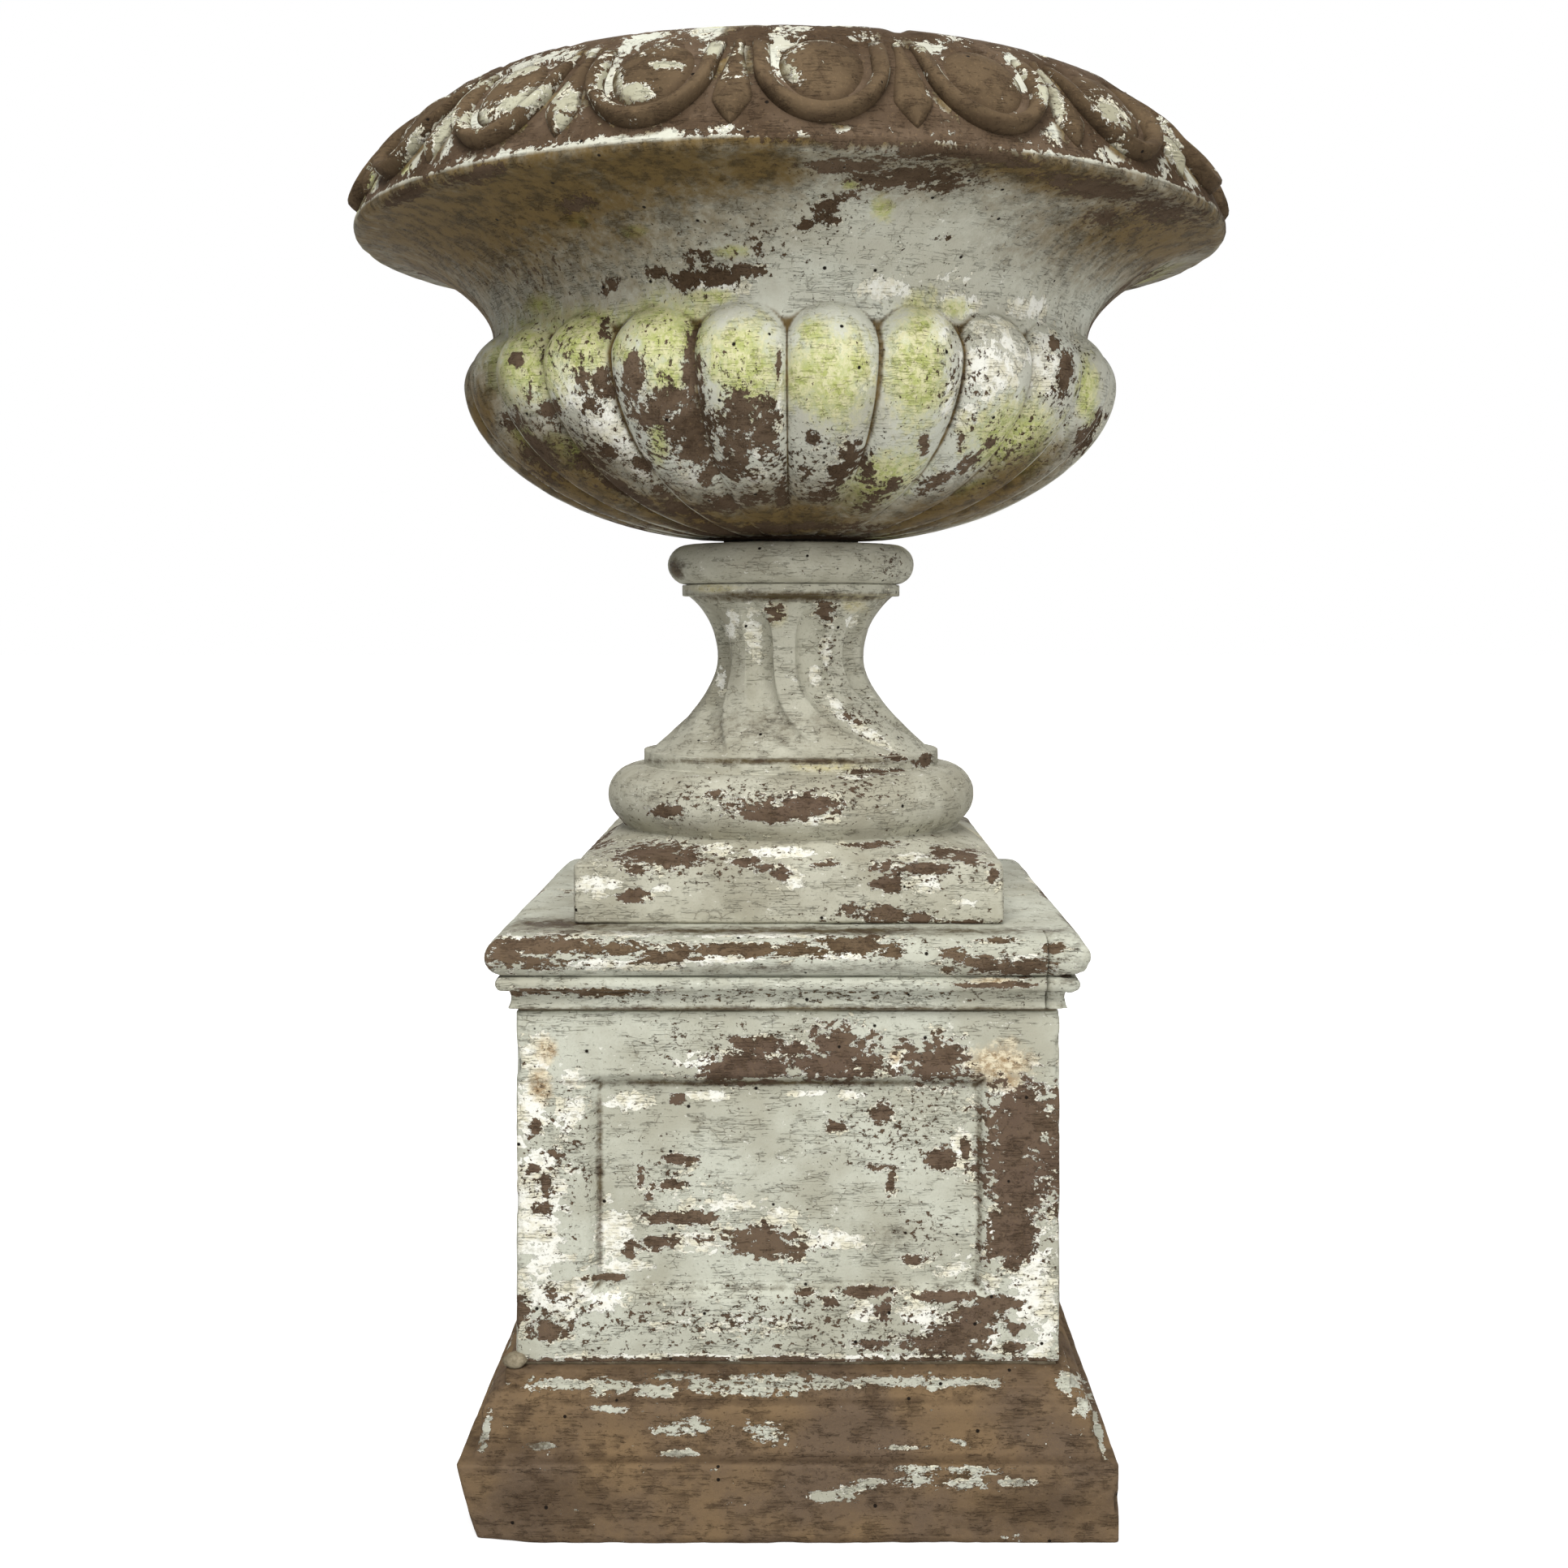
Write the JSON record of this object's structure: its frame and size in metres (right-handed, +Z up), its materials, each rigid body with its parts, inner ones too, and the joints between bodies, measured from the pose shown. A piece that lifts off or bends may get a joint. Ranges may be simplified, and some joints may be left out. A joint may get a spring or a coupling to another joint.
{
  "type": "terracotta urn on pedestal",
  "caption": "Wide garden urn with a gadrooned bowl, egg-and-dart rim and twist-fluted socle on a square panelled pedestal, in weathered painted terracotta.",
  "frame": {"origin": "on the ground, below the vertical axis of the urn and pedestal", "axes": "+Z up the axis, the pictured front looks to -Y, +X to the right seen from the front"},
  "size_m": [0.812, 0.8134, 1.208],
  "materials": {
    "painted_terracotta": "flaking matt paint over terracotta",
    "bare_terracotta": "bare weathered terracotta with paint remains",
    "packing": "dark damp packing",
    "mortar": "grey lime mortar"
  },
  "bodies": {
    "pedestal": {"pedestal_cap": "painted_terracotta", "cap_corner": "painted_terracotta", "cap_bed": "mortar", "pedestal_die": "painted_terracotta", "base_bed": "mortar", "pedestal_base": "bare_terracotta"},
    "socle": {"socle": "painted_terracotta"},
    "seat_ring": {"seat_ring": "packing"},
    "bowl": {"bowl": "painted_terracotta", "rim_eggs": "bare_terracotta", "rim_egg_frames": "bare_terracotta", "rim_darts": "bare_terracotta"}
  },
  "joints": [
    {"name": "socle_lift", "type": "slide", "parent": "pedestal", "child": "socle", "axis": [0, 0, 1], "range_m": [0, 0.15]},
    {"name": "bowl_turn", "type": "hinge", "parent": "socle", "child": "seat_ring", "pos_m": [0, 0, 0.815], "axis": [0, 0, 1], "continuous": true},
    {"name": "bowl_lift", "type": "slide", "parent": "seat_ring", "child": "bowl", "axis": [0, 0, 1], "range_m": [0, 0.15]}
  ]
}
